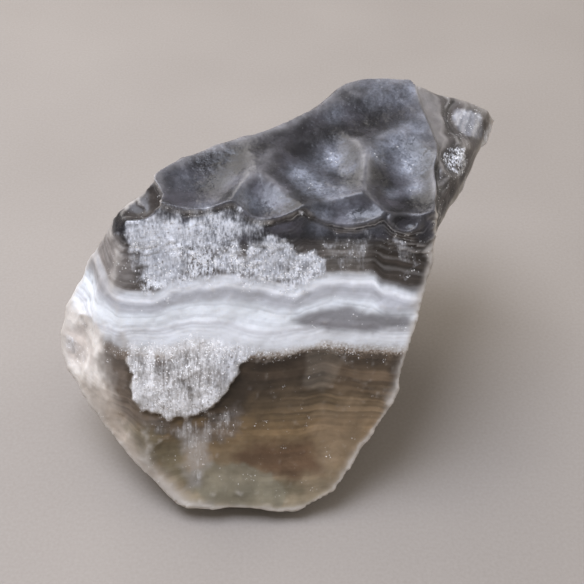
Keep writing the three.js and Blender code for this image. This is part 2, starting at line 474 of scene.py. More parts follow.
# Sugary haze above the white band, from the left.
HAZE = (
    Area((  # the large patch at the left
        (-28.8, 62), (-30, 66), (-26.5, 67.6), (-22.5, 66.4), (-19.9, 64.6), (-16.7, 65.9), (-12.4, 66.6),
        (-8.4, 66.5), (-6.7, 64.1), (-5.3, 60.9), (-3.7, 58.1), (-1.8, 54.9), (-1, 51.7), (-5.4, 52), (-9, 52.3),
        (-13.4, 51.7), (-17, 50.5), (-20.4, 49.2), (-23.8, 49.2), (-25.9, 52.1), (-25.6, 56.1), (-27.6, 58.5),
    ), strength=1, soft=7, fray=2.8),
    Area((  # the patch in the middle
        (-4.7, 58.5), (-1, 59.1), (0.6, 61.7), (4.2, 61.3), (5.4, 58.5), (9.8, 58.9), (11, 56.9), (11.8, 53.7),
        (9.4, 52.3), (7, 50.5), (4.2, 50.3), (1, 51.3), (-2.2, 51.9), (-3.8, 54.9),
    ), strength=1, soft=2.2, fray=1.6),
    Area((  # a thin veil beside it
        (10.2, 60.9), (15.5, 61.3), (20.3, 60.5), (20.5, 54.1), (17, 52.9), (12.2, 53.3), (10.6, 56.9),
    ), strength=0.4, soft=3.5, fray=2.6),
    Area((  # a thin veil under the ledge, at the left
        (-26, 68), (-16, 68.2), (-6.5, 67.4), (-4.2, 62.5), (-6.5, 58), (-24, 59),
    ), strength=0.56, soft=5, fray=1.5),
    Area((  # and in the middle
        (-9, 65.8), (0.8, 65.2), (1.8, 61), (-1, 58), (-8, 59),
    ), strength=0.56, soft=3, fray=1.8),
    Area((  # a small spot where the two veils meet
        (-3, 64.6), (-1.2, 64.3), (0.2, 62.6), (-1.2, 62.4), (-2.6, 63.4),
    ), strength=0.9, soft=1.2, fray=0.5),
    Area((  # single spots at the ledge
        (-5.9, 66.9), (-5, 67.2), (-4.7, 66.3), (-5.5, 66),
    ), strength=1, soft=0.7, fray=0.2),
    Area((  # and one farther right
        (6.3, 66.4), (7.3, 66.5), (7.4, 65.6), (6.5, 65.5),
    ), strength=1, soft=0.7, fray=0.2),
    Area((  # a thin arc at the right
        (24.5, 60.5), (27, 61), (30.5, 58), (31, 54.5), (28.5, 52), (26, 52.5), (27.5, 55.5), (26, 58.5),
    ), strength=0.34, soft=1.2, fray=1.6),
    Area((  # and its outer edge
        (26, 62.5), (32.5, 63.5), (33, 57), (31, 57), (30.5, 61),
    ), strength=0.28, soft=1.6, fray=1.2),
)
# Where the haze is broken up into black and white grains.
BROKEN_HAZE = (
    Area((  # within the large patch
        (-17.4, 59.5), (-13.9, 60.6), (-10.5, 58.7), (-9.5, 54.9), (-10.8, 51.3), (-14.8, 51.4), (-16, 55.7),
    ), strength=1, soft=2.2, fray=1.2),
    Area((  # beside it
        (-8.5, 59.5), (-4.9, 58.3), (-3.2, 55.3), (-3, 52.5), (-5.6, 52.3), (-7.2, 54.9),
    ), strength=0.55, soft=1.6, fray=1),
    Area((  # at its foot, by the left corner
        (-27.8, 51.3), (-25.3, 52.7), (-23, 51.7), (-22.4, 49.2), (-25.8, 49.2),
    ), strength=1, soft=1.4, fray=0.8),
    Area((  # within the middle patch
        (2.8, 54.9), (6.2, 55.7), (10.2, 56.6), (11, 53.3), (8.2, 52.1), (6.2, 50.5), (3.8, 50.5),
    ), strength=0.3, soft=1.8, fray=1),
    Area((  # under the ledge
        (-12, 65.5), (-8, 66), (-6.5, 62), (-9, 59), (-12.5, 61),
    ), strength=0.45, soft=3, fray=1),
)
UNDER_BAND = (18.5, 21.0)  # depths in mm over which the crust sets in

# The crust that stands proud under the white band.
CRUST = (
    Area((  # it narrows toward its foot
        (-27.5, 44), (-20, 44), (-10, 44), (-3.5, 43), (-1.5, 40.3), (-3, 37.2), (-5.5, 34.4), (-6.6, 31.9),
        (-8, 29.4), (-10.1, 27.3), (-12.8, 25.8), (-15.8, 24.7), (-19.5, 23.3), (-22.4, 24.7), (-25.6, 25.6),
        (-27.4, 28.1), (-27.7, 31.9), (-28.2, 35.7),
    ), strength=1, soft=1.2, fray=1.3),
)
# Where the crust is thinner and greyer.
THIN_CRUST = (
    Area((  # its middle
        (-23.5, 38.5), (-19, 39.5), (-12.5, 38.5), (-10.5, 34.5), (-11.5, 30), (-15, 27.5), (-19, 29), (-22.5, 33),
    ), strength=1, soft=5, fray=1.5),
)
# The crust's thin fringe.
FRINGE = (
    Area((  # it trails off toward the foot
        (-24.1, 22.6), (-19, 22.4), (-12.8, 24), (-7.3, 25.2), (-5.6, 22.6), (-6.7, 20.1), (-11, 19.6), (-12.7, 16.6),
        (-13.4, 11), (-16.1, 9.7), (-16.8, 14.9), (-17.2, 19.6), (-20.8, 20.1),
    ), strength=0.42, soft=4, fray=1.5),
)
# A clear grey lens within the white band.
LENS = (
    Area((  # pointed at its left end
        (4.8, 44.3), (10.6, 46.8), (15.6, 47.3), (20.7, 46.2), (28.9, 45.4), (29.2, 42.6), (18.7, 42.1), (12.6, 42.2),
        (7.8, 42.8),
    ), strength=1, soft=2.2, fray=0.4),
)


@dataclass(frozen=True)
class StainAndShade(Area):
    """An area of the front face with its colour: a colour of the clear layers, in one place a painted shadow."""

    colour: str = "#000000"


# Later areas lie over earlier ones; one of them is a painted shadow.
STAINS_AND_SHADE = (
    StainAndShade((  # the pale left end
        (-47, 48), (-40, 45), (-34, 42), (-32.5, 38), (-31.5, 31), (-31.5, 27), (-38, 20), (-47, 26),
    ), strength=0.95, soft=3, fray=1.5, colour="#e5dfd8"),
    StainAndShade((  # the pale rim at the lower left
        (-47, 30), (-33, 30), (-28, 22), (-22.5, 13.5), (-17, 7), (-20, 2), (-30, 8), (-40, 18),
    ), strength=0.85, soft=4, fray=1.5, colour="#b3a89c"),
    StainAndShade((  # the grey lump at the upper left
        (-36, 61.5), (-31, 62), (-28.5, 61), (-27, 57), (-26.5, 52.5), (-29, 50), (-34.5, 50.5), (-37.5, 55),
    ), strength=0.6, soft=3, fray=1, colour="#8d8783"),
    StainAndShade((  # a brownish spot in the left end
        (-43, 40.5), (-38.5, 41.5), (-36.5, 37), (-38.5, 32), (-42.5, 34),
    ), strength=0.35, soft=3, fray=1.6, colour="#8d7768"),
    StainAndShade((  # a dark seam between the left end and the crust
        (-34, 40), (-30, 40.5), (-28.6, 38), (-28.2, 32), (-27, 27), (-21, 23.5), (-24, 20.5), (-29.5, 24), (-33, 30),
        (-35, 35),
    ), strength=0.75, soft=3, fray=1.2, colour="#6f645a"),
    StainAndShade((  # painted shadow in the hollow beside the crust, under its lower right end
        (-16.5, 25.6), (-11, 28), (-7, 32), (-3, 35.5), (0.5, 35.5), (-2.5, 30), (-5, 25), (-12, 22.5),
    ), strength=0.85, soft=3, fray=1.2, colour="#362d25"),
    StainAndShade((  # the dark clear middle
        (-5, 35), (4, 36.5), (12, 35), (11, 24), (2, 22.5), (-5, 24),
    ), strength=0.5, soft=7, fray=2, colour="#43382d"),
    StainAndShade((  # lighter brown at the right of it
        (13, 35), (24, 35.5), (25, 28), (13, 27.5),
    ), strength=0.45, soft=6, fray=2, colour="#7d6a55"),
    StainAndShade((  # olive grey along the foot
        (-29.2, 21.3), (-25.1, 22.6), (-21, 20.1), (-16.8, 19.2), (-16.5, 12.8), (-14, 8.4), (-5.8, 9.3), (5.8, 11.9),
        (7.1, 8), (2.5, 5.8), (-12, 5.8), (-20.2, 10.6), (-26.3, 16.6),
    ), strength=0.7, soft=3.5, fray=1.4, colour="#6b6450"),
    StainAndShade((  # light brown toward the right
        (10.3, 25.6), (18.9, 26.9), (25.4, 27.7), (23, 23.5), (17.3, 16.6), (12.9, 10.6), (9.1, 11), (10.3, 16.6),
        (8.7, 21.3),
    ), strength=0.65, soft=4, fray=1.6, colour="#8a7760"),
    StainAndShade((  # a warm brown spot in the middle
        (-7, 15.7), (-1, 18.2), (8.8, 18.6), (11.2, 13.3), (6, 10), (0.8, 10.6), (-4.6, 12.9),
    ), strength=0.8, soft=4, fray=1.2, colour="#5a4230"),
    StainAndShade((  # a greenish grey streak under it
        (-17, 12), (-10.4, 13.8), (-3, 13), (1.5, 11), (4, 8), (3, 4.5), (-5.8, 5), (-14.1, 6.2),
    ), strength=0.8, soft=1.2, fray=0.9, colour="#7f7968"),
    StainAndShade((  # grey under the crust
        (-24.5, 24.5), (-18, 22.5), (-12, 23.5), (-6.5, 26), (-5, 22.6), (-6.5, 19.6), (-12.5, 18.6), (-18, 19.2),
        (-22.5, 20.8),
    ), strength=0.6, soft=1.8, fray=1.6, colour="#645c56"),
    StainAndShade((  # a pale streak under the crust
        (-17.8, 21), (-12.4, 21), (-12.2, 17.5), (-13, 14), (-14.2, 9.5), (-16.8, 9), (-17.6, 14),
    ), strength=0.62, soft=2.6, fray=1.4, colour="#a39d97"),
    StainAndShade((  # a curved crack
        (8, 38), (14.5, 39), (14.9, 35.5), (13.7, 32), (11.5, 29), (7.5, 30),
    ), strength=0.32, soft=1.6, fray=0.8, colour="#857c70"),
    StainAndShade((  # grey above the band
        (10.5, 60.5), (15.5, 61), (20.2, 60.3), (20.4, 53.6), (12, 53.3),
    ), strength=0.5, soft=3, fray=1, colour="#6f6a64"),
    StainAndShade((  # a dark clear patch above the band, at the right
        (20.9, 60.5), (26.4, 62.1), (32.4, 60.5), (32.7, 56.1), (31.8, 50.1), (26.6, 49.6), (23.4, 50.9),
        (21.1, 54.5),
    ), strength=0.75, soft=2, fray=1, colour="#332c26"),
)


# ---- what the finish reads, and its nodes ----


class Measure(Enum):
    """What the stone's mesh carries at each point, for its finish to read."""

    LAYER = "layer"
    HAZE = "haze"
    GRIT = "grit"
    LENS = "lens"
    # stains, with painted shade beside the crust and in the notch
    TINT = "tint"
    TOP = "top"
    # painted highlight on ridges
    CREST_HIGHLIGHT = "crest"
    # where bluish highlight is painted on the growth face
    HIGHLIGHT_CLOUD = "cloud"
    # painted shade on the growth face
    DEEP_SHADE = "deep"
    # painted glow along thin edges
    THIN = "thin"
    # painted highlight on chip edges
    EDGE = "edge"
    # painted shade in pits
    PIT_SHADE = "pit"
    HACKLE = "hackle"
    FIBROUS = "fibrous"
    WORN = "worn"


@dataclass(frozen=True)
class Step:
    """One step in the making of a finish: a kind of node, its settings, and which of its sockets are used."""

    kind: str
    settings: dict[str, Any] = field(default_factory=dict)
    inputs: tuple[int, ...] = (0, 1, 2, 3, 4)
    output: int = 0


COLOUR_MIX = {"data_type": "RGBA", "clamp_factor": True}
MIX_SOCKETS = (0, 6, 7)


class Op(Enum):
    """The steps that the finish is made of."""

    ADD = Step("ShaderNodeMath", {"operation": "ADD"})
    SUBTRACT = Step("ShaderNodeMath", {"operation": "SUBTRACT"})
    MULTIPLY = Step("ShaderNodeMath", {"operation": "MULTIPLY"})
    DIVIDE = Step("ShaderNodeMath", {"operation": "DIVIDE"})
    MULTIPLY_ADD = Step("ShaderNodeMath", {"operation": "MULTIPLY_ADD"})
    MAXIMUM = Step("ShaderNodeMath", {"operation": "MAXIMUM"})
    SPAN = Step("ShaderNodeMapRange", {"interpolation_type": "SMOOTHSTEP"})  # value, from, from, to, to
    NOISE = Step("ShaderNodeTexNoise", inputs=(0, 2, 3))  # place, 1 over the pitch in mm, detail
    LINES = Step("ShaderNodeTexNoise", {"noise_dimensions": "1D"}, (1, 2, 3))  # layer, the same, detail
    BLEND = Step("ShaderNodeMix", COLOUR_MIX | {"blend_type": "MIX"}, MIX_SOCKETS, 2)  # share, under, over
    SHADE = Step("ShaderNodeMix", COLOUR_MIX | {"blend_type": "MULTIPLY"}, MIX_SOCKETS, 2)
    CHOOSE = Step("ShaderNodeMix", inputs=(0, 2, 3))  # share, first, second
    RED = Step("ShaderNodeSeparateColor")
    VECTOR_MULTIPLY = Step("ShaderNodeVectorMath", {"operation": "MULTIPLY"})
    VECTOR_SCALE = Step("ShaderNodeVectorMath", {"operation": "SCALE"}, (0, 3))
    VECTOR_ADD = Step("ShaderNodeVectorMath", {"operation": "ADD"})
    VECTOR_SUBTRACT = Step("ShaderNodeVectorMath", {"operation": "SUBTRACT"})
    NORMALIZE = Step("ShaderNodeVectorMath", {"operation": "NORMALIZE"})


class Recipe:
    """A finish in the making: its node tree, places on the stone in mm, and the measures that its mesh carries."""

    def __init__(self, tree: bpy.types.NodeTree) -> None:
        """Starts an empty finish.

        Args:
            tree: The material's node tree.
        """
        self.tree = tree
        tree.nodes.clear()
        place = add_node(tree, "ShaderNodeTexCoord").outputs["Object"]
        self.mm = self.make(Op.VECTOR_MULTIPLY, place, (1 / MM, 1 / MM, 1 / MM))
        self.read = {
            m: add_node(tree, "ShaderNodeAttribute", {"attribute_name": m.value}).outputs["Fac"]
            for m in Measure
            if m is not Measure.TINT
        }

    def make(self, op: Op, *values: Any) -> bpy.types.NodeSocket:
        """Adds one step.

        Args:
            op: Which step.
            values: What goes into its sockets, in order.

        Returns:
            What comes out.
        """
        step = op.value
        links = dict(zip(step.inputs, values))
        return add_node(self.tree, step.kind, step.settings, links).outputs[step.output]


def set_stops(row: bpy.types.ColorRamp, stops: list[tuple[float, Colour]]) -> None:
    """Sets the colours of a row whose end is the last stop's depth.

    Args:
        row: The row of colours.
        stops: Depths and their colours, rising.
    """
    while len(row.elements) < len(stops):
        row.elements.new(1.0)
    for element, (depth, colour) in zip(row.elements, stops):
        element.position, element.color = depth / stops[-1][0], colour


# ---- the calcite's finish ----


BLACK: Colour = (0.0, 0.0, 0.0, 1.0)
WHITE: Colour = (1.0, 1.0, 1.0, 1.0)


@dataclass(frozen=True)
class BandedCalcite:
    """Banded calcite, broken by hand: waxy and translucent, clear brown and grey layers and a milky white band.

    Its broken faces scatter light in their grains, so grainy patches look pale, while the clear layers look dark and
    deep.
    Pale edges, rims and ridges, glints and bluish spots are painted light; dark pits, spots and the notch are painted
    shade.
    """

    # depth under the growth face in mm, and the layer's colour there
    layer_colours: tuple[tuple[float, str], ...] = (
        (0.0, "#6f6b69"), (0.5, "#4b4745"), (0.9, "#34302e"), (1.6, "#3b3735"),
        (4.5, "#433e3c"), (7.0, "#4b4643"), (10.3, "#57504b"),
        (11.3, "#e0e3e8"), (12.0, "#e6e8ec"), (12.8, "#b8b9be"), (13.9, "#b8b9be"),
        (14.8, "#dce0e5"), (15.8, "#e6eaee"), (17.2, "#e2e5e9"), (17.8, "#d6d7db"), (18.2, "#dddfe3"),
        (20.0, "#d9dbde"), (20.8, "#c4c0bc"), (21.4, "#7a6e62"),
        (22.0, "#413830"), (24.0, "#4c4034"), (26.0, "#43382d"), (30.0, "#65553f"), (34.0, "#7a6549"),
        (38.0, "#837056"), (42.0, "#8b7c65"), (46.0, "#928772"), (54.0, "#857a68"),
    )
    # depth in mm, and how brightly the lip of a step catches the light there
    step_lines: tuple[tuple[float, float], ...] = (
        (0.0, 0.2), (0.35, 0.3), (0.6, 0.0), (0.95, 0.0), (1.2, 0.95), (1.5, 0.0), (1.8, 0.0), (2.0, 0.4),
        (2.25, 0.0), (2.35, 0.0), (2.62, 0.5), (2.9, 0.0), (3.0, 0.0), (3.25, 0.34), (3.6, 0.0), (3.9, 0.0),
        (4.25, 0.3), (4.6, 0.0), (5.0, 0.0), (5.5, 0.24), (5.9, 0.0), (6.6, 0.0), (7.1, 0.2), (7.5, 0.0),
        (8.3, 0.0), (8.8, 0.18), (9.2, 0.0), (12.0, 0.0),
    )
    # depths in mm over which the white band sets in and fades out, and over which its broken foot does
    band_in: tuple[float, float] = (10.8, 11.6)
    band_out: tuple[float, float] = (21.2, 20.2)
    foot_in: tuple[float, float] = (19.6, 20.8)
    foot_out: tuple[float, float] = (23.4, 21.2)
    haze: str = "#f4f6fb"
    haze_shade: str = "#adb0b7"
    crust: str = "#dedad5"
    clear_lens: str = "#5f5a5c"
    growth_dark: str = "#1b1a1d"
    growth_milky: str = "#434147"
    # painted highlight on the growth face's ridges
    ridge_highlight_colour: str = "#989698"
    # painted bluish highlight where the growth face mirrors the window
    growth_highlight: str = "#9398a4"
    step_edge: str = "#c6c3c1"
    # painted glow of thin edges and rims
    rim_glow: str = "#c4bdb5"
    # painted highlight on the edges of chips
    chip_edge_highlight: str = "#c9c4be"
    wear: str = "#ddd6cc"
    frosted: str = "#808187"
    # painted shade in the notch, over its dark grey layers
    notch: str = "#332d2a"
    ior: float = 1.55
    shine: float = 0.32
    grain: float = 0.30  # sugary grains, mm
    # the crumbs are white broken grains, some standing in as painted glints
    crumb: float = 0.22  # single bright grains, mm
    fibre: float = 0.45  # fibres of the crust, mm apart, square to the layers
    relief: float = 0.0003  # height of the grains, m
    relief_share: float = 0.5  # how much of it shows
    scatter: float = 0.3  # how much of the light goes under the skin
    scatter_reach: float = 0.0014  # how far it goes there, m
    scatter_colour: tuple[float, float, float] = (1.0, 0.92, 0.85)  # and that reach's shares of red, green and blue

    def build(self) -> bpy.types.Material:
        """Makes the material.

        Returns:
            The finished material.
        """
        material = bpy.data.materials.new("banded_calcite")
        material.use_nodes = True
        recipe = Recipe(material.node_tree)
        make, mm, top = recipe.make, recipe.mm, recipe.read[Measure.TOP]
        # The layers wander a little, and hold finer ones.
        wander = make(Op.MULTIPLY_ADD, make(Op.NOISE, mm, 1 / 7.0, 3.0), 0.8, -0.4)
        flutter = make(Op.MULTIPLY_ADD, make(Op.NOISE, mm, 1 / 1.6, 3.0), 0.26, -0.13)
        layer = make(Op.ADD, make(Op.ADD, recipe.read[Measure.LAYER], wander), flutter)
        # The foot of the white band breaks in sugary grains.
        foot = make(Op.MULTIPLY, make(Op.SPAN, layer, *self.foot_in), make(Op.SPAN, layer, *self.foot_out))
        sugar = make(Op.SUBTRACT, make(Op.NOISE, mm, 1 / 0.5, 3.0), 0.5)
        layer = make(Op.MULTIPLY_ADD, sugar, make(Op.MULTIPLY, foot, 2.4), layer)

        colour = self.layered(recipe, layer)
        # Painted light and shade by shape: lit lips and chip edges, glowing rims, shaded pits.
        colour = self.edge_light_and_shade(recipe, colour, wander, flutter)
        colour = make(Op.BLEND, top, colour, self.growth(recipe))
        grains = add_node(recipe.tree, "ShaderNodeTexVoronoi", None, {"Vector": mm, "Scale": 1 / self.grain})
        hazed, haze_colour = self.frost(recipe)
        colour = make(Op.BLEND, make(Op.MULTIPLY, hazed, 0.92), colour, haze_colour)
        # White broken grains and painted glints.
        colour = make(Op.BLEND, self.crumbs_and_glints(recipe, foot), colour, WHITE)

        rough = make(Op.SPAN, make(Op.NOISE, mm, 1 / 3.0, 3.0), 0.3, 0.7, 0.30, 0.44)
        shader = add_node(
            recipe.tree,
            "ShaderNodeBsdfPrincipled",
            {"subsurface_method": "RANDOM_WALK"},
            {
                "Base Color": colour,
                "Roughness": make(Op.ADD, rough, make(Op.MULTIPLY, top, -0.12)),
                "IOR": self.ior,
                "Specular IOR Level": self.shine,
                "Normal": self.broken_grain(recipe, grains, hazed),
                "Subsurface Weight": self.scatter,
                "Subsurface Radius": self.scatter_colour,
                "Subsurface Scale": self.scatter_reach,
            },
        )
        add_node(recipe.tree, "ShaderNodeOutputMaterial", None, {"Surface": shader.outputs[0]})
        return material

    def layered(self, recipe: Recipe, layer: bpy.types.NodeSocket) -> bpy.types.NodeSocket:
        """Colours the growth layers, with their fine lines, the clear lens, the stained areas with painted shade among
        them, and the wear.

        Args:
            recipe: The finish in the making.
            layer: Which layer each point lies in: its depth under the growth face, in mm.

        Returns:
            The layers' colour.
        """
        make, mm, read = recipe.make, recipe.mm, recipe.read
        stops = [(depth, linear(colour)) for depth, colour in self.layer_colours]
        clear = add_node(recipe.tree, "ShaderNodeValToRGB", None, {0: make(Op.DIVIDE, layer, stops[-1][0])})
        set_stops(clear.color_ramp, stops)
        # The lines are faint in the milky band and toward the foot, and under pale stains.
        wide = make(Op.SPAN, make(Op.LINES, layer, 0.62, 1.0), 0.42, 0.64, -0.18, 0.5)
        fine = make(Op.SPAN, make(Op.LINES, layer, 2.0, 2.0), 0.42, 0.66, -0.16, 0.26)
        fine = make(Op.MULTIPLY, fine, make(Op.SPAN, layer, 20.0, 22.0, 1.0, 0.5))
        broken = make(Op.SPAN, make(Op.NOISE, mm, 1 / 9.0, 3.0), 0.35, 0.6, 0.3, 1.0)
        milky = make(Op.MULTIPLY, make(Op.SPAN, layer, *self.band_in), make(Op.SPAN, layer, *self.band_out))
        broken = make(Op.MULTIPLY, broken, make(Op.MULTIPLY_ADD, milky, -0.74, 1.0))
        broken = make(Op.MULTIPLY, broken, make(Op.SPAN, layer, 29.0, 38.0, 1.0, 0.35))
        lines = make(Op.MULTIPLY_ADD, make(Op.ADD, wide, fine), broken, 1.0)
        lens = make(Op.MULTIPLY, read[Measure.LENS], 0.78)
        colour = make(Op.BLEND, lens, clear.outputs[0], linear(self.clear_lens))
        # The stored tint: stains of the clear layers, with painted shade beside the crust and in the notch.
        stain_and_shade = add_node(recipe.tree, "ShaderNodeAttribute", {"attribute_name": Measure.TINT.value}).outputs
        colour = make(Op.BLEND, stain_and_shade["Alpha"], colour, stain_and_shade["Color"])
        pale = make(Op.SPAN, make(Op.RED, stain_and_shade["Color"]), 0.05, 0.5, -0.2, -0.85)
        pale = make(Op.MULTIPLY, stain_and_shade["Alpha"], pale)
        colour = make(Op.SHADE, make(Op.ADD, pale, 1.0), colour, lines)
        # The sides away from the fresh face are worn and a little dirty.
        worn = make(Op.SPAN, make(Op.NOISE, mm, 1 / 8.0, 3.0), 0.3, 0.6, 0.7, 1.0)
        colour = make(Op.SHADE, make(Op.MULTIPLY, read[Measure.WORN], worn), colour, linear(self.wear))
        cloudy = make(Op.SPAN, make(Op.NOISE, mm, 1 / 5.0, 5.0), 0.3, 0.75, 0.84, 1.2)
        return make(Op.SHADE, make(Op.MULTIPLY_ADD, milky, -0.8, 1.0), colour, cloudy)

    def edge_light_and_shade(
        self, recipe: Recipe, colour: bpy.types.NodeSocket, wander: bpy.types.NodeSocket, flutter: bpy.types.NodeSocket
    ) -> bpy.types.NodeSocket:
        """Paints light and shade by shape: lips and chip edges get painted highlight, thin edges a painted glow as if
        they let light through, and pits painted shade.

        Args:
            recipe: The finish in the making.
            colour: The layers' colour.
            wander: How the layers wander.
            flutter: How the finer ones do.

        Returns:
            The colour with its painted edge light and pit shade.
        """
        make, mm, read = recipe.make, recipe.mm, recipe.read
        # The lip of each step under the ledge catches the light.
        ledge = make(Op.MULTIPLY_ADD, wander, 0.5, read[Measure.LAYER])
        ledge = make(Op.ADD, ledge, make(Op.MULTIPLY, flutter, 1.6))
        stops = [(depth, (shine, shine, shine, 1.0)) for depth, shine in self.step_lines]
        lips = add_node(recipe.tree, "ShaderNodeValToRGB", None, {0: make(Op.DIVIDE, ledge, stops[-1][0])})
        set_stops(lips.color_ramp, stops)
        lip = make(Op.MULTIPLY, lips.outputs[0], make(Op.MULTIPLY_ADD, read[Measure.HACKLE], -1.6, 1.0))
        there = make(Op.SPAN, make(Op.NOISE, mm, 1 / 4.0, 4.0), 0.38, 0.6, 0.1, 1.0)
        colour = make(Op.BLEND, make(Op.MULTIPLY, lip, there), colour, linear(self.step_edge))
        # Painted glow: thin edges and rims lightened as if light shone through them.
        colour = make(Op.BLEND, make(Op.MULTIPLY, read[Measure.THIN], 0.8), colour, linear(self.rim_glow))
        # Painted highlight on the edges of chips.
        chip_highlight = make(Op.SPAN, make(Op.NOISE, mm, 1 / 2.5, 3.0), 0.35, 0.6, 0.05, 0.4)
        chip_highlight = make(Op.MULTIPLY, read[Measure.EDGE], chip_highlight)
        colour = make(Op.BLEND, chip_highlight, colour, linear(self.chip_edge_highlight))
        # Painted shade: pits darkened toward black.
        return make(Op.BLEND, make(Op.MULTIPLY, read[Measure.PIT_SHADE], 0.3), colour, BLACK)

    def growth(self, recipe: Recipe) -> bpy.types.NodeSocket:
        """Colours the growth face: dark and clear, with milky clouds, painted shade spots, painted bluish highlights
        and ridges lightened as painted highlight.

        Args:
            recipe: The finish in the making.

        Returns:
            Its colour.
        """
        make, mm, read = recipe.make, recipe.mm, recipe.read
        clouds = make(Op.SPAN, make(Op.NOISE, mm, 1 / 6.0, 8.0), 0.4, 0.68)
        # Painted shade: the shade spots, the face's back and its left end hold the milky clouds back.
        clouds = make(Op.MULTIPLY, clouds, make(Op.MULTIPLY_ADD, read[Measure.DEEP_SHADE], -0.85, 1.0))
        growth = make(Op.BLEND, clouds, linear(self.growth_dark), linear(self.growth_milky))
        # Painted highlight: ridges lightened as if light shone through them.
        ridge = make(Op.SPAN, make(Op.NOISE, mm, 1 / 4.0, 3.0), 0.3, 0.62, 0.4, 1.0)
        ridge = make(Op.MULTIPLY, make(Op.MULTIPLY, read[Measure.CREST_HIGHLIGHT], ridge), 0.6)
        growth = make(Op.BLEND, ridge, growth, linear(self.ridge_highlight_colour))
        # Painted highlight: bluish clouds where the growth face mirrors the window.
        sugar = make(Op.SPAN, make(Op.NOISE, mm, 1 / 0.6, 4.0), 0.3, 0.62, 0.55, 1.0)
        painted_highlight = make(Op.MULTIPLY, make(Op.MULTIPLY, read[Measure.HIGHLIGHT_CLOUD], 0.95), sugar)
        patchy = make(Op.SPAN, make(Op.NOISE, mm, 1 / 2.5, 4.0), 0.3, 0.6, 0.45, 1.0)
        growth = make(Op.BLEND, make(Op.MULTIPLY, painted_highlight, patchy), growth, linear(self.growth_highlight))
        uneven = make(Op.SPAN, make(Op.NOISE, mm, 1 / 2.8, 3.0), 0.32, 0.68, 0.8, 1.2)
        return make(Op.SHADE, 1.0, growth, uneven)

    def frost(self, recipe: Recipe) -> tuple[bpy.types.NodeSocket, bpy.types.NodeSocket]:
        """Lays the sugary haze: a bruised skin of broken grains, in fibres that stand square to the layers, and powder.

        Args:
            recipe: The finish in the making.

        Returns:
            How thickly it lies, and its colour.
        """
        make, mm, read = recipe.make, recipe.mm, recipe.read
        haze, fibrous = read[Measure.HAZE], read[Measure.FIBROUS]
        lean = {"Vector": mm, "Angle": FRONT.tilt}
        stood = add_node(recipe.tree, "ShaderNodeVectorRotate", {"rotation_type": "X_AXIS"}, lean).outputs[0]
        fibre_size = (1 / self.fibre, 1 / (2 * self.fibre), 1 / (10 * self.fibre))
        stood = make(Op.VECTOR_MULTIPLY, stood, fibre_size)
        flakes = make(Op.VECTOR_MULTIPLY, stood, (1.0, 1.4, 4.0))
        fibres = make(Op.SUBTRACT, make(Op.NOISE, stood, 1 / 1.0, 2.0), 0.5)
        streaks = make(Op.SUBTRACT, make(Op.NOISE, stood, 1 / 3.0, 4.0), 0.5)
        flake = make(Op.SUBTRACT, make(Op.NOISE, flakes, 1 / 0.9, 2.0), 0.5)
        drift = make(Op.SUBTRACT, make(Op.NOISE, mm, 1 / 7.0, 2.0), 0.5)
        mottle = make(Op.SUBTRACT, make(Op.NOISE, mm, 1 / 2.4, 6.0), 0.5)
        powder = make(Op.SUBTRACT, make(Op.NOISE, mm, 1 / 0.5, 4.0), 0.5)
        streak = make(Op.MULTIPLY, fibres, make(Op.MULTIPLY_ADD, fibrous, 0.7, 0.15))
        streak = make(Op.MULTIPLY_ADD, streaks, make(Op.MULTIPLY_ADD, fibrous, 0.6, 0.45), streak)
        mottled = make(Op.MULTIPLY, mottle, make(Op.MULTIPLY_ADD, fibrous, -0.7, 1.3))

        laid = make(Op.MULTIPLY_ADD, drift, 1.5, make(Op.MULTIPLY_ADD, haze, 1.5, -0.55))
        laid = make(Op.ADD, laid, make(Op.ADD, mottled, streak))
        laid = make(Op.MULTIPLY, laid, make(Op.SPAN, haze, 0.02, 0.15))
        flaky = make(Op.MULTIPLY_ADD, powder, 0.4, flake)
        even = make(Op.SPAN, make(Op.MULTIPLY_ADD, flaky, 0.6, laid), -0.15, 1.05)
        even = make(Op.MULTIPLY, even, make(Op.SPAN, haze, 0.0, 0.3))
        gritty = make(Op.MULTIPLY_ADD, flaky, 1.9, make(Op.MULTIPLY, laid, 0.5))
        gritty = make(Op.MULTIPLY, make(Op.SPAN, gritty, 0.0, 0.7), make(Op.SPAN, laid, 0.05, 0.4))
        hazed = make(Op.CHOOSE, read[Measure.GRIT], even, gritty)

        tone = make(Op.ADD, make(Op.MULTIPLY, flaky, 0.8), make(Op.MULTIPLY_ADD, mottle, 0.9, streak))
        tone = make(Op.SPAN, tone, -0.4, 0.5)
        colour = make(Op.BLEND, tone, linear(self.haze_shade), linear(self.haze))
        return hazed, make(Op.BLEND, make(Op.MULTIPLY, fibrous, 0.55), colour, linear(self.crust))

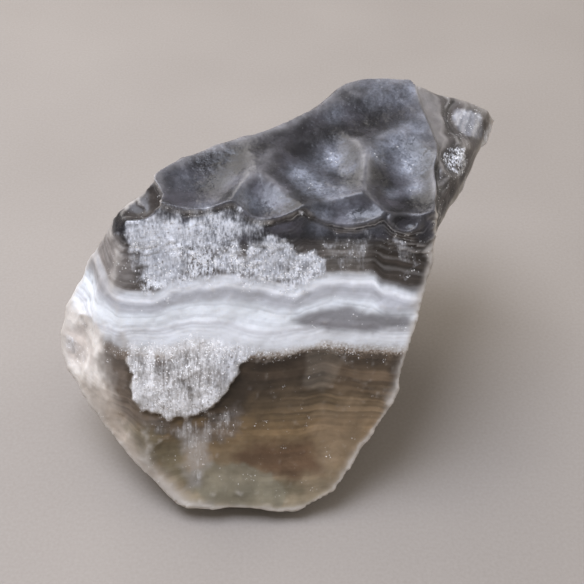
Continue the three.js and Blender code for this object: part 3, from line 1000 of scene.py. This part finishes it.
    def crumbs_and_glints(self, recipe: Recipe, foot: bpy.types.NodeSocket) -> bpy.types.NodeSocket:
        """Scatters single broken grains that look white, in loose swarms, with painted glints among them; on the growth
        face they are painted glints where its bluish highlights are painted.

        Args:
            recipe: The finish in the making.
            foot: Where the foot of the white band is.

        Returns:
            How strongly they show.
        """
        make, mm, read = recipe.make, recipe.mm, recipe.read
        layer, haze, top = read[Measure.LAYER], read[Measure.HAZE], read[Measure.TOP]
        cells = {"Vector": mm, "Scale": 1 / self.crumb}
        crumb = add_node(recipe.tree, "ShaderNodeTexVoronoi", None, cells).outputs["Color"]
        swarm = make(Op.SPAN, make(Op.NOISE, mm, 1 / 3.6, 6.0), 0.56, 0.76, 0.0, 0.11)
        ledge_lips = make(Op.MULTIPLY, make(Op.SPAN, layer, 0.3, 1.0, 0.0, 0.05), make(Op.SPAN, layer, 5.0, 3.0))
        crumbly = make(Op.MULTIPLY, haze, make(Op.SPAN, read[Measure.GRIT], 0.0, 0.09, 0.0, 0.13))
        crusted = make(Op.MULTIPLY_ADD, foot, 0.12, make(Op.ADD, crumbly, ledge_lips))
        patchy = make(Op.SPAN, make(Op.NOISE, mm, 1 / 2.4, 4.0), 0.4, 0.62, 0.25, 1.0)
        swarm = make(Op.MULTIPLY_ADD, crusted, patchy, swarm)
        swarm = make(Op.MULTIPLY, swarm, make(Op.SUBTRACT, 1.0, top))
        # On the growth face, painted glints where its bluish highlights are painted.
        swarm = make(Op.MULTIPLY_ADD, top, make(Op.SPAN, read[Measure.HIGHLIGHT_CLOUD], 0.5, 0.9, 0.0, 0.07), swarm)
        fleck = make(Op.SPAN, make(Op.ADD, make(Op.RED, crumb), swarm), 0.99, 1.03)
        bright = make(Op.SPAN, make(Op.NOISE, mm, 1 / 0.8, 3.0), 0.35, 0.6, 0.1, 0.6)
        return make(Op.MULTIPLY, fleck, make(Op.MULTIPLY_ADD, haze, 0.4, bright))

    def broken_grain(
        self, recipe: Recipe, grains: bpy.types.Node, hazed: bpy.types.NodeSocket
    ) -> bpy.types.NodeSocket:
        """Gives relief too fine for the mesh: grains, and a faint waxy unevenness everywhere.

        Args:
            recipe: The finish in the making.
            grains: The sugary grains.
            hazed: How thickly the haze lies.

        Returns:
            Which way the surface looks.
        """
        make, mm, read = recipe.make, recipe.mm, recipe.read
        hackle, top = read[Measure.HACKLE], read[Measure.TOP]
        height = make(Op.MULTIPLY, grains.outputs["Distance"], make(Op.MULTIPLY_ADD, hazed, 0.2, 0.05))
        waxy = make(Op.NOISE, mm, 1 / 0.9, 4.0)
        waxy = make(Op.MULTIPLY, waxy, make(Op.MULTIPLY_ADD, top, 0.4, 0.35))
        skin = make(Op.ADD, waxy, make(Op.MULTIPLY, height, -1.0))
        splintered = make(Op.NOISE, mm, 1 / 1.4, 3.0)
        splintered = make(Op.MULTIPLY, splintered, make(Op.MULTIPLY, hackle, 0.4))
        height = make(Op.ADD, skin, splintered)
        settings = {"Strength": self.relief_share, "Distance": self.relief, "Height": height}
        bump = add_node(recipe.tree, "ShaderNodeBump", None, settings).outputs[0]
        # Each grain also tips its own way, which is what glitters.
        glint = make(Op.SPAN, make(Op.RED, grains.outputs["Color"]), 0.86, 0.9)
        glint = make(Op.MULTIPLY_ADD, glint, 0.9, 0.22)
        wet = make(Op.MULTIPLY, make(Op.MULTIPLY, top, read[Measure.HIGHLIGHT_CLOUD]), 0.6)
        tipping = make(Op.MAXIMUM, make(Op.MAXIMUM, hazed, wet), 0.16)
        tipping = make(Op.MULTIPLY, glint, make(Op.MULTIPLY_ADD, hackle, 0.5, tipping))
        tip = make(Op.VECTOR_SUBTRACT, grains.outputs["Color"], (0.5, 0.5, 0.5))
        return make(Op.NORMALIZE, make(Op.VECTOR_ADD, bump, make(Op.VECTOR_SCALE, tip, tipping)))


# ---- the stone ----


class Skin:
    """The stone's surface as arrays: points in mm and the edges between them."""

    def __init__(self, mesh: bpy.types.Mesh) -> None:
        """Reads a mesh.

        Args:
            mesh: The mesh, in metres.
        """
        self.mesh = mesh
        self.edges = np.empty(len(mesh.edges) * 2, int)
        mesh.edges.foreach_get("vertices", self.edges)
        self.edges = self.edges.reshape(-1, 2)
        flat = np.empty(len(mesh.vertices) * 3)
        mesh.vertices.foreach_get("co", flat)
        self.points = flat.reshape(-1, 3) / MM
        self.count = np.bincount(self.edges.ravel(), minlength=len(self.points)).clip(1)

    def averaged(self, values: np.ndarray, rounds: int, share: float = 0.5) -> np.ndarray:
        """Evens values out among neighbours.

        Args:
            values: One row per point.
            rounds: How many times.
            share: How far each goes toward its neighbours each time.

        Returns:
            The evened values.
        """
        out = values.reshape(len(self.points), -1).astype(float)
        a, b = self.edges.T
        for _ in range(rounds):
            for k in range(out.shape[1]):
                column = out[:, k]
                near = np.bincount(a, column[b], len(column)) + np.bincount(b, column[a], len(column))
                out[:, k] = column + share * (near / self.count - column)
        return out.reshape(values.shape)

    def normals(self) -> np.ndarray:
        """Puts the points back in the mesh and reads which way it faces at each.

        Returns:
            One unit vector per point.
        """
        self.mesh.vertices.foreach_set("co", (self.points * MM).ravel())
        self.mesh.update()
        flat = np.empty(len(self.points) * 3)
        self.mesh.vertex_normals.foreach_get("vector", flat)
        return flat.reshape(-1, 3)

    def bulge(self, rounds: int) -> np.ndarray:
        """Says how far each point stands out from its neighbourhood.

        Args:
            rounds: How wide the neighbourhood is.

        Returns:
            Millimetres, more than 0 on ridges and less in hollows.
        """
        away = self.points - self.averaged(self.points, rounds, 0.7)
        return np.einsum("ij,ij->i", away, self.normals())

    def store(self, measure: Measure, values: np.ndarray) -> None:
        """Keeps one number per point on the mesh.

        Args:
            measure: Which measure it is.
            values: The numbers.
        """
        self.mesh.attributes.new(measure.value, "FLOAT", "POINT").data.foreach_set("value", values.astype(np.float32))


@dataclass
class Stone:
    """The whole stone: the CAD solid's skin, made fine, broken rough and read for its layers."""

    solid: bpy.types.Object
    layers: Layers = field(default_factory=Layers)
    finish: BandedCalcite = field(default_factory=BandedCalcite)
    voxel: float = 0.45  # the width of the mesh's faces, mm
    terrace_pitch: float = 1.25  # how deep one layer is, mm
    terrace: float = 0.28  # how far its edge stands out, mm
    frost: float = 0.15  # how far the haze stands out, mm
    crust: float = 0.9  # the crust, mm
    fringe: float = 0.1  # and its fringe, mm

    def build(self) -> bpy.types.Object:
        """Makes the stone.

        Returns:
            The stone's object.
        """
        body = self.remeshed()
        skin = Skin(body.data)
        low, high = (np.array(c) / MM for c in CAD_BOX)
        skin.points = skin.averaged(skin.points, 3, 0.5)
        self.dish(skin)
        self.relieve(skin)
        skin.points = np.clip(skin.points, low, high)
        skin.normals()
        self.measure(skin)
        body.data.polygons.foreach_set("use_smooth", np.ones(len(body.data.polygons), bool))
        body.data.materials.clear()
        body.data.materials.append(self.finish.build())
        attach(body, "root")
        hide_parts("calcite_specimen")
        return body

    def remeshed(self) -> bpy.types.Object:
        """Covers the solid in small even faces.

        Returns:
            A new object with the fine mesh.
        """
        rough = bpy.data.objects.new("stone_rough", self.solid.data.copy())
        bpy.context.scene.collection.objects.link(rough)
        remesh = rough.modifiers.new("Remesh", "REMESH")
        remesh.mode = "VOXEL"
        remesh.voxel_size = self.voxel * MM
        graph = bpy.context.evaluated_depsgraph_get()
        mesh = bpy.data.meshes.new_from_object(rough.evaluated_get(graph))
        bpy.data.objects.remove(rough)
        mesh.name = "calcite_stone"
        stone = bpy.data.objects.new("calcite_stone", mesh)
        bpy.context.scene.collection.objects.link(stone)
        return stone

    def ragged(self, points: np.ndarray) -> np.ndarray:
        """Gives the noise that frays the edges of areas, one number per point."""
        return Swell(3)(points, 3.0) + 0.6 * Swell(4)(points, 1.3)

    def masks(self, skin: Skin) -> dict[str, np.ndarray]:
        """Finds the stone's regions.

        Args:
            skin: The surface.

        Returns:
            Each region's cover, from 0 to 1, by name, and the depth under the growth face, in mm.
        """
        p, n = skin.points, skin.averaged(skin.normals(), 6)
        x = p[:, 0]
        back, below = TOP.read(p)
        up, behind = FRONT.read(p)
        ragged = self.ragged(p)
        rim = np.interp(back, (0, 16, 34), (33.4, 35.6, 32.0))
        top = ease(n @ TOP.outward, 0.45, 0.7) * ease(below, 6.0, 4.0) * ease(x - rim, 0.4, -0.4)
        notch = NOTCH.cover(p, 0.8 * ragged)
        top *= 1 - notch
        front = ease(n @ FRONT.outward, 0.55, 0.8) * ease(behind, 7.0, 4.0)
        wedge = ease(x - rim, -0.2, 0.8) * ease(below, 9.0, 6.0) * ease(back, 1.0, 4.0) * ease(n[:, 2], 0.1, 0.4)
        fin = ease(x - rim, 0.0, 2.0) * ease(below, 15.0, 9.0)
        depth = self.layers.depth(p)
        above_band = ease(depth, 1.0, 4.0) * ease(depth, 11.0, 9.0)
        below_band = ease(depth, 19.0, 22.0) * ease(depth, 34.0, 28.0)
        loose = ease(Swell(9)(p, 13.0) + 0.4 * Swell(10)(p, 4.0), 0.05, 0.4) * (1 - front) * (1 - top)
        loose *= above_band + 0.6 * below_band
        facet = FROSTED_FACET.cover(p, ragged)
        spark = SPARKLING.cover(p, 1.4 * ragged) * (1 - top)
        return {
            "top": top,
            "front": front,
            "wedge": wedge * (1 - facet),
            "fin": fin,
            "foot": ease(p[:, 2], 2.5, 0.6),
            "ahead": ease(n @ FRONT.outward, -0.15, 0.3),
            "notch": notch,
            "facet": facet,
            "spark": spark,
            "haze": covered(HAZE, x, up, ragged) * front * (1 - 0.8 * notch),
            "grit": covered(BROKEN_HAZE, x, up, ragged) * front,
            "crust": covered(CRUST, x, up, 0.7 * ragged) * front,
            "fringe": covered(FRINGE, x, up, ragged) * front,
            "loose": loose * (1 - 0.8 * wedge),
            "depth": depth,
        }

    def dish(self, skin: Skin) -> None:
        """Sets the growth face's points on its bowls.

        Args:
            skin: The surface, which is changed.
        """
        back, below = TOP.read(skin.points)
        short = growth_height(skin.points[:, 0], back) + below
        share = self.masks(skin)["top"] * ease(np.abs(short), 1.6, 0.8)
        skin.points += (short * share)[:, None] * TOP.outward

    def relieve(self, skin: Skin) -> None:
        """Raises and lowers the surface: terraces, frost, crust and broken grain.

        Args:
            skin: The surface, which is changed.
        """
        m = self.masks(skin)
        step = m["depth"] / self.terrace_pitch + 0.45 * Swell(15)(skin.points, 6.0)
        terraced = (step - np.floor(step)) ** 2 - 0.4
        calm = skin.averaged(skin.points, 14, 0.6) - skin.points
        skin.points = skin.points + calm * np.maximum(m["wedge"], m["facet"])[:, None]
        p, n = skin.points, skin.normals()
        broken = (1 - m["top"]) * (1 - 0.9 * m["facet"]) * (1 - 0.6 * m["wedge"]) * (1 - 0.6 * m["fin"])
        height = broken * (0.16 * Swell(11)(p, 5.0) + 0.08 * Swell(12)(p, 2.1) + 0.06 * Swell(13)(p, 1.0))
        side = 1 - m["front"]
        height += broken * (0.06 + 0.10 * side) * Chips(21)(p, 5.0) + broken * (0.03 + 0.03 * side) * Chips(22)(p, 2.2)
        height += broken * (0.05 + 0.40 * side) * Chips(23)(p, 12.0)
        height += m["top"] * (0.07 * Swell(14)(p, 3.0) + 0.06 * Swell(16)(p, 1.4))
        height += broken * self.terrace * terraced * ease(m["depth"], 0.3, 1.0) * ease(m["depth"], 8.0, 3.5)
        grit = 0.16 * Swell(17)(p, 0.8) + 0.10 * Swell(18)(p, 1.6)
        height += np.maximum(m["haze"], m["loose"]) * (self.frost + grit)
        height += m["crust"] * ease(m["depth"], 19.5, 27.0) * (self.crust + grit + 0.3 * Swell(20)(p, 3.0))
        height += m["fringe"] * (self.fringe + grit)
        height += m["wedge"] * (0.35 * Chips(24)(p, 7.0) + 0.12 * Chips(25)(p, 3.0))
        skin.points = p + n * (height * (1 - m["foot"]))[:, None]

    def measure(self, skin: Skin) -> None:
        """Stores what the finish reads.

        Args:
            skin: The finished surface.
        """
        m = self.masks(skin)
        p = skin.points
        x, ragged = p[:, 0], self.ragged(p)
        up, behind = FRONT.read(p)
        back, _ = TOP.read(p)
        skin.store(Measure.LAYER, m["depth"] + (NOTCH_LAYER - m["depth"]) * ease(m["notch"], 0.0, 0.5))
        crust = m["crust"] * (1.0 - 0.16 * covered(THIN_CRUST, x, up, ragged)) * ease(m["depth"], *UNDER_BAND)
        haze = [m["haze"], crust, m["fringe"], 0.7 * m["loose"], 0.42 * m["facet"], 0.62 * m["spark"]]
        skin.store(Measure.HAZE, np.maximum.reduce(haze))
        grit = 0.1 + m["grit"] + 0.15 * m["crust"] + 0.2 * m["loose"] + m["spark"]
        skin.store(Measure.GRIT, np.clip(grit, 0, 1) * (1 - m["facet"]))
        skin.store(Measure.LENS, covered(LENS, x, up, ragged) * m["front"])
        skin.store(Measure.TOP, m["top"])
        # Painted highlight on the growth face's ridges and its ledge edge.
        sharp = ease(skin.averaged(skin.bulge(8), 2), 0.0, 0.10)
        broad = ease(skin.averaged(skin.bulge(60), 6), -0.1, 0.5) * ease(behind, 0.6, 4.5)
        skin.store(Measure.CREST_HIGHLIGHT, (0.22 * sharp + 0.65 * broad) * ease(x, -26.0, -21.0))
        # Where the bluish highlight is painted on the growth face.
        skin.store(Measure.HIGHLIGHT_CLOUD, HIGHLIGHT_CLOUDS.cover(x, back))
        # Painted shade on the growth face: its dark spots, darker toward its back and at its left end.
        deep = [SHADE_SPOTS.cover(x, back), 0.6 * ease(back, 5.0, 13.0), ease(x, -22.0, -26.0)]
        skin.store(Measure.DEEP_SHADE, np.maximum.reduce(deep))
        # Painted glow along thin edges and rims.
        thin = ease(skin.averaged(skin.bulge(120), 6), 0.28, 1.15) * (1 - m["foot"]) * (1 - 0.6 * m["wedge"])
        thin *= 1 - 0.85 * m["front"] * ease(m["depth"], 6.0, 3.0)
        skin.store(Measure.THIN, thin)
        chip = skin.averaged(skin.bulge(5), 1) * (1 - m["top"]) * (1 - m["foot"]) * (1 - 0.6 * m["wedge"])
        # Painted highlight on the edges of chips.
        skin.store(Measure.EDGE, ease(chip, 0.015, 0.07))
        # Painted shade in pits.
        skin.store(Measure.PIT_SHADE, ease(chip, -0.02, -0.09))
        skin.store(Measure.HACKLE, 0.4 * m["wedge"] + 0.6 * m["spark"])
        fibrous = np.maximum(m["crust"] * (1 - 0.6 * ease(x, -14.0, -7.0)), ease(m["fringe"], 0.0, 0.3))
        skin.store(Measure.FIBROUS, fibrous * ease(m["depth"], *UNDER_BAND))
        skin.store(Measure.WORN, 1 - m["ahead"])
        # Stains, with a painted shadow beside the crust among them.
        stains_and_shade = [(stain_and_shade.cover(x, up, ragged) * m["ahead"], stain_and_shade.colour) for stain_and_shade in STAINS_AND_SHADE]
        # The frosted facet's own colour, and painted shade darkening the notch.
        stains_and_shade += [(0.85 * m["facet"], self.finish.frosted), (0.8 * m["notch"], self.finish.notch)]
        self.tint(skin, stains_and_shade)

    def tint(self, skin: Skin, stains_and_shade: list[tuple[np.ndarray, str]]) -> None:
        """Lays stained areas and painted shade over each other and keeps the colour that they come to.

        Args:
            skin: The finished surface.
            stains_and_shade: How far each covers each point, and its colour.
        """
        tint = np.zeros((len(skin.points), 4))
        for share, colour in stains_and_shade:
            share = share[:, None]
            left = (1 - share) * tint[:, 3:]
            tint[:, 3:] = share + left
            mixed = np.array(linear(colour)[:3]) * share + tint[:, :3] * left
            tint[:, :3] = mixed / np.maximum(tint[:, 3:], 1e-6)
        layer = skin.mesh.attributes.new(Measure.TINT.value, "FLOAT_COLOR", "POINT")
        layer.data.foreach_set("color", tint.astype(np.float32).ravel())


# ---- the table, the light and the camera ----


@dataclass(frozen=True)
class Table:
    """A pale grey table top, covered with paper."""

    hollow: str = "#928b84"
    tooth: str = "#9b948d"
    grain: float = 0.0007  # of the paper, m
    mottling: float = 0.06  # soft unevenness, m
    half: float = 2.0

    def build(self) -> bpy.types.Object:
        """Makes the table top.

        Returns:
            Its object.
        """
        mesh = bpy.data.meshes.new("table_top")
        h = self.half
        mesh.from_pydata([(-h, -h, 0), (h, -h, 0), (h, h, 0), (-h, h, 0)], [], [(0, 1, 2, 3)])
        top = bpy.data.objects.new("table_top", mesh)
        bpy.context.scene.collection.objects.link(top)
        # Plain uncoated paper: its fibres leave a faint tooth and a soft cloudiness.
        material = bpy.data.materials.new("grey_paper")
        material.use_nodes = True
        tree = material.node_tree
        tree.nodes.clear()
        place = add_node(tree, "ShaderNodeTexCoord").outputs["Object"]
        fine = add_node(tree, "ShaderNodeTexNoise", None, {"Vector": place, "Scale": 1 / self.grain}).outputs[0]
        broad = add_node(tree, "ShaderNodeTexNoise", None, {"Vector": place, "Scale": 1 / self.mottling}).outputs[0]
        both = add_node(tree, "ShaderNodeMath", {"operation": "ADD"}, {0: fine, 1: broad}).outputs[0]
        share = add_node(tree, "ShaderNodeMapRange", None, {0: both, 1: 0.7, 2: 1.3}).outputs[0]
        paper = add_node(
            tree, "ShaderNodeMix", {"data_type": "RGBA"}, {0: share, 6: linear(self.hollow), 7: linear(self.tooth)}
        )
        shader = add_node(tree, "ShaderNodeBsdfPrincipled", None, {"Base Color": paper.outputs[2], "Roughness": 0.75})
        add_node(tree, "ShaderNodeOutputMaterial", None, {"Surface": shader.outputs[0]})
        mesh.materials.append(material)
        return top


@dataclass(frozen=True)
class SoftLight:
    """One large soft lamp, aimed at the stone."""

    name: str
    place: tuple[float, float, float]
    size: tuple[float, float]
    watts: float
    colour: str

    def build(self, aim: Vector) -> bpy.types.Object:
        """Hangs the lamp.

        Args:
            aim: Where it points.

        Returns:
            Its object.
        """
        data = bpy.data.lights.new(self.name, "AREA")
        data.shape = "RECTANGLE"
        data.size, data.size_y = self.size
        data.energy = self.watts
        data.color = linear(self.colour)[:3]
        lamp = bpy.data.objects.new(self.name, data)
        lamp.location = self.place
        lamp.rotation_euler = (aim - Vector(self.place)).to_track_quat("-Z", "Y").to_euler()
        bpy.context.scene.collection.objects.link(lamp)
        return lamp


LAMPS = (
    SoftLight("window", (-0.46, 0.58, 0.70), (0.79, 0.69), 5.6, "#fdf8f3"),
    SoftLight("skylight", (-0.13, 0.02, 0.48), (0.30, 0.30), 2.5, "#e8eeff"),
    SoftLight("wall", (0.62, 0.30, 0.42), (0.50, 0.50), 1.0, "#f6f0e8"),
)


@dataclass(frozen=True)
class Studio:
    """The room's own light and the camera."""

    air: str = "#e6e0da"
    air_strength: float = 0.57
    target: tuple[float, float, float] = (0.005, -0.009, 0.041)
    elevation: float = 45.0  # degrees
    distance: float = 0.205  # m
    lens: float = 63.2  # mm
    sensor: float = 36.0  # mm
    clip: tuple[float, float] = (0.005, 20.0)  # m

    def build(self) -> None:
        """Makes the room's light, the lamps and the camera."""
        scene = bpy.context.scene
        world = bpy.data.worlds.new("room")
        world.use_nodes = True
        tree = world.node_tree
        tree.nodes.clear()
        glow = add_node(
            tree, "ShaderNodeBackground", None, {"Color": linear(self.air), "Strength": self.air_strength}
        )
        add_node(tree, "ShaderNodeOutputWorld", None, {"Surface": glow.outputs[0]})
        scene.world = world
        aim = Vector(self.target)
        for lamp in LAMPS:
            lamp.build(aim)
        tilt = math.radians(self.elevation)
        ahead = Vector((0.0, math.cos(tilt), -math.sin(tilt)))
        data = bpy.data.cameras.new("camera")
        data.lens, data.sensor_width = self.lens, self.sensor
        data.clip_start, data.clip_end = self.clip
        camera = bpy.data.objects.new("camera", data)
        camera.location = aim - ahead * self.distance
        camera.rotation_euler = ahead.to_track_quat("-Z", "Y").to_euler()
        scene.collection.objects.link(camera)
        scene.camera = camera
        scene.view_settings.view_transform = "Standard"


def main() -> None:
    """Builds the stone, the table, the lights and the camera."""
    logging.basicConfig(level=logging.INFO, format="%(name)s: %(message)s")
    Studio().build()
    Table().build()
    stone = Stone(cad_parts["calcite_specimen"]).build()
    log.info("%s: %d points, %d faces", stone.name, len(stone.data.vertices), len(stone.data.polygons))


if __name__ == "__main__":
    main()
